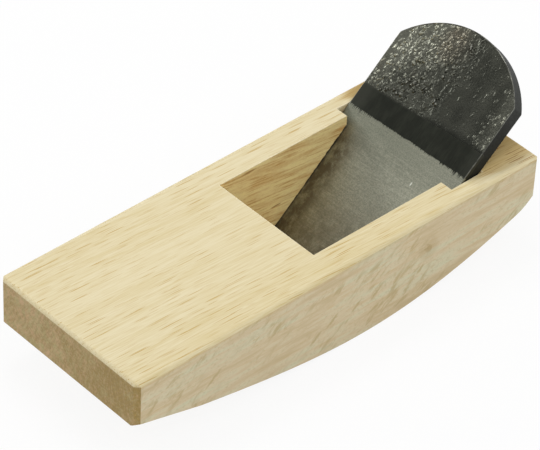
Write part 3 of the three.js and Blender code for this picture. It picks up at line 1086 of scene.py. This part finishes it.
def model_blade_body(props):
    """The forged iron body: hammered head, softened arrises, dull back and ground bevel."""
    # Without a seed, the noise that bends the lumps would differ from run to run.
    noise.seed_set(RELIEF_SEED)
    mesh = merged_copy("blade_body")
    outer = [edge for edge in sharp_edges(mesh) if not in_recess(edge)]
    soften(mesh, outer, props.arris)
    mesh.normal_update()
    head = [
        face for face in mesh.faces
        if face.normal.dot(FACE_NORMAL) > math.cos(math.radians(2))
        and abs(blade_place(face.calc_center_median())[2]) < TOUCHING
    ]
    step = props.mesh_step
    ups = [blade_place(vertex.co)[0] for face in head for vertex in face.verts]
    low, high = min(ups), max(ups)
    strips = sliced(mesh, head, CUTTING_EDGE + FACE_UP * low, FACE_UP, step, int((high - low) / step))
    side = CUTTING_EDGE - ACROSS * HALF_WIDTH
    squares = sliced(mesh, strips, side, ACROSS, step, int(2 * HALF_WIDTH / step))
    relief = mesh.verts.layers.float.new("relief")
    forged = mesh.verts.layers.float.new("forged")
    for vertex in {vertex for face in squares for vertex in face.verts}:
        up, across, _ = blade_place(vertex.co)
        strength = relief_strength(up, across)
        height = relief_height(up, across, props) * strength
        roll = 0.25 * noise.noise(Vector((up, across, 0)) / (4.5 * MM))
        roll += 0.25 * noise.noise(Vector((0.7 * up, across, 0)) / (1.7 * MM))
        vertex[relief] = height
        # The forged attribute is mostly a painted sheen, with a little wear where the head is forged
        # rough.
        vertex[forged] = skin_wear_and_sheen(up, across, strength)
        vertex.co += FACE_NORMAL * props.lump_height * (height - SUNK_SHARE * strength + roll * strength)
    for face in mesh.faces:
        place = blade_place(face.calc_center_median())
        down = face.normal.dot(-FACE_NORMAL)
        on_bevel = place[0] < BODY_BEVEL_TOP and face.normal.dot(-FACE_UP) > LEAN and down > LEAN
        on_rim = abs(down) < LEAN and place[2] < RIM_FROM
        face.material_index = 1 if on_bevel else 2 if on_rim else 0
    materials = [forge_skin_material(props), bevel_material(props), rim_material(props)]
    finish_piece(mesh, "forged_body", "blade_body", "blade", materials)


def lies_along_side(edge):
    """Whether an edge of the facing runs up one side of the blade, on its face."""
    first, second = (blade_place(vertex.co) for vertex in edge.verts)
    on_face = abs(first[2]) < TOUCHING and abs(second[2]) < TOUCHING
    return on_face and abs(abs(first[1]) - HALF_WIDTH) < WELD and abs(first[1] - second[1]) < WELD


def ends_the_bevel(edge):
    """Whether an edge of the facing is one of the two where its bevel meets the cut of an ear."""
    places = [blade_place(vertex.co) for vertex in edge.verts]
    return all(place[0] < FACING_BEVEL_TOP and abs(place[1]) > EAR_FROM for place in places)


def model_blade_facing(props):
    """The steel facing, closed up to the body that it is welded to."""
    mesh = merged_copy("blade_facing")
    corners = [edge for edge in sharp_edges(mesh) if ends_the_bevel(edge)]
    sides = [edge for edge in sharp_edges(mesh) if lies_along_side(edge)]
    closed = CAD_GAP - HAIR
    for vertex in mesh.verts:
        up, across, off = blade_place(vertex.co)
        if off < -MM:
            vertex.co -= FACE_NORMAL * closed
            if up < FACING_BEVEL_TOP:
                # The corners of the bevel slide along both it and the cut of the ear.
                along = FACE_UP + ACROSS * math.copysign(EAR_SLOPE, across)
                vertex.co += along * closed / math.tan(BEVEL + TAPER)
        if up > FACING_END:
            vertex.co += FACE_UP * closed
    soften(mesh, sides, props.arris)
    soften(mesh, corners, props.corner)
    materials = [facing_material(props)]
    finish_piece(mesh, "steel_facing", "blade_facing", "blade", materials)


# Stage

FLOOR_SIZE = 6.0
FLOOR_WHITE_SHARE = 0.89
WHITE = (1, 1, 1)

# Each lamp's size, its distance from the plane's origin, and the way that it lies.
LAMPS = {
    "key": (0.4, 1.1, (0.10, 0.34, 0.93)),
    "fill": (0.9, 1.3, (0.15, -0.64, 0.75)),
    "rake": (0.3, 1.3, (-0.25, 0.9, 0.35)),
}


def seen_directly(wiring):
    """One for the rays that show the background: from the camera, off a gloss or through glass."""
    rays = wiring.outputs("ShaderNodeLightPath")
    seen = wiring.most(rays["Is Camera Ray"], rays["Is Glossy Ray"])
    return wiring.most(seen, rays["Is Transmission Ray"])


def build_floor(props):
    """A pale floor that the sole touches."""
    mesh = bmesh.new()
    bmesh.ops.create_grid(mesh, x_segments=1, y_segments=1, size=FLOOR_SIZE / 2)
    material, wiring, shader = new_material("pale_floor")
    wiring.feed(shader, {"Base Color": props.floor, "Roughness": 0.9, "Specular IOR Level": 0.0})
    white = wiring.add("ShaderNodeEmission", {"Color": WHITE, "Strength": 1.0})
    share = seen_directly(wiring) * FLOOR_WHITE_SHARE
    both = wiring.add("ShaderNodeMixShader", {0: share, 1: shader.outputs[0], 2: white.outputs[0]})
    output = material.node_tree.get_output_node("ALL")
    wiring.feed(output, {"Surface": both.outputs[0]})
    floor = placed_mesh("floor", mesh, [material])


def build_world(props):
    """Soft light from all round, brighter towards the zenith."""
    world = bpy.data.worlds.new("studio")
    bpy.context.scene.world = world
    world.use_nodes = True
    world.node_tree.nodes.clear()
    wiring = Wiring(world.node_tree)
    height = wiring.coordinate("Generated").parts()[2]
    inputs = {"Value": height, "To Min": props.horizon, "To Max": props.zenith}
    strength = wiring.value("ShaderNodeMapRange", inputs)
    light = wiring.add("ShaderNodeBackground", {"Color": WHITE, "Strength": strength})
    wiring.add("ShaderNodeOutputWorld", {"Surface": light.outputs[0]})


def build_lamps(props):
    """Round soft lamps, each of which lights a white deck to its own brightness by itself."""
    for name, (size, distance, way) in LAMPS.items():
        direction = Vector(way).normalized()
        lamp = bpy.data.lights.new(name, "AREA")
        lamp.shape = "DISK"
        lamp.size = size
        # A lamp of P watts at distance d lights a white deck square to it to P over (pi d) squared.
        lamp.energy = getattr(props, name) * (math.pi * distance) ** 2 / direction.z
        lamp_object = placed(name, lamp)
        lamp_object.location = direction * distance
        lamp_object.rotation_mode = "QUATERNION"
        lamp_object.rotation_quaternion = (-direction).to_track_quat("-Z", "Y")


def build_camera(props):
    """The camera at the height and bearing from which the plane is shown."""
    camera_data = bpy.data.cameras.new("camera")
    camera_data.sensor_fit = "HORIZONTAL"
    camera_data.sensor_width = 36.0
    camera_data.lens = props.lens
    camera_data.clip_start = 0.05
    camera_data.clip_end = 20.0
    camera = placed("camera", camera_data)
    level = math.cos(props.elevation)
    east, north = math.sin(props.azimuth) * level, -math.cos(props.azimuth) * level
    back = Vector((east, north, math.sin(props.elevation)))
    camera.location = Vector(props.target) + back * props.distance
    camera.rotation_mode = "QUATERNION"
    roll = Quaternion((0, 0, 1), props.roll)
    camera.rotation_quaternion = (-back).to_track_quat("-Z", "Y") @ roll
    bpy.context.scene.camera = camera


# Operators, one for each piece and one for the stage

class HANDPLANE_OT_block(bpy.types.Operator):
    """Model and finish the oak block"""

    bl_idname = "handplane.block"
    bl_label = "Oak Block"

    def execute(self, context):
        model_block(context.scene.handplane_block)
        return {"FINISHED"}


class HANDPLANE_OT_blade_body(bpy.types.Operator):
    """Model and finish the forged iron body of the blade"""

    bl_idname = "handplane.blade_body"
    bl_label = "Blade Body"

    def execute(self, context):
        model_blade_body(context.scene.handplane_blade)
        return {"FINISHED"}


class HANDPLANE_OT_blade_facing(bpy.types.Operator):
    """Model and finish the steel facing of the blade"""

    bl_idname = "handplane.blade_facing"
    bl_label = "Blade Facing"

    def execute(self, context):
        model_blade_facing(context.scene.handplane_blade)
        return {"FINISHED"}


class HANDPLANE_OT_stage(bpy.types.Operator):
    """Set up the floor, the light and the camera"""

    bl_idname = "handplane.stage"
    bl_label = "Stage"

    def execute(self, context):
        props = context.scene.handplane_stage
        build_floor(props)
        build_world(props)
        build_lamps(props)
        build_camera(props)
        context.scene.view_settings.view_transform = "Standard"
        return {"FINISHED"}


class HANDPLANE_PT_panel(bpy.types.Panel):
    """Lists the pieces of the hand plane"""

    bl_idname = "HANDPLANE_PT_panel"
    bl_label = "Hand Plane"
    bl_space_type = "VIEW_3D"
    bl_region_type = "UI"
    bl_category = "Hand Plane"

    def draw(self, context):
        for operator in OPERATORS:
            self.layout.operator(operator.bl_idname)
        for group in PROPERTY_GROUPS:
            box = self.layout.box()
            settings = getattr(context.scene, group)
            for name in settings.__annotations__:
                box.prop(settings, name)


OPERATORS = (
    HANDPLANE_OT_stage,
    HANDPLANE_OT_block,
    HANDPLANE_OT_blade_body,
    HANDPLANE_OT_blade_facing,
)
PROPERTY_GROUPS = {
    "handplane_block": BlockProperties,
    "handplane_blade": BladeProperties,
    "handplane_stage": StageProperties,
}


def register():
    """Makes the classes and their properties known to Blender."""
    for name, group in PROPERTY_GROUPS.items():
        bpy.utils.register_class(group)
        setattr(bpy.types.Scene, name, bpy.props.PointerProperty(type=group))
    for kind in (*OPERATORS, HANDPLANE_PT_panel):
        bpy.utils.register_class(kind)


def unregister():
    """Takes the classes and their properties away again."""
    for kind in (HANDPLANE_PT_panel, *reversed(OPERATORS)):
        bpy.utils.unregister_class(kind)
    for name, group in PROPERTY_GROUPS.items():
        delattr(bpy.types.Scene, name)
        bpy.utils.unregister_class(group)


def main():
    """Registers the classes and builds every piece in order."""
    register()
    bpy.ops.handplane.stage()
    bpy.ops.handplane.block()
    bpy.ops.handplane.blade_body()
    bpy.ops.handplane.blade_facing()


if __name__ == "__main__":
    main()
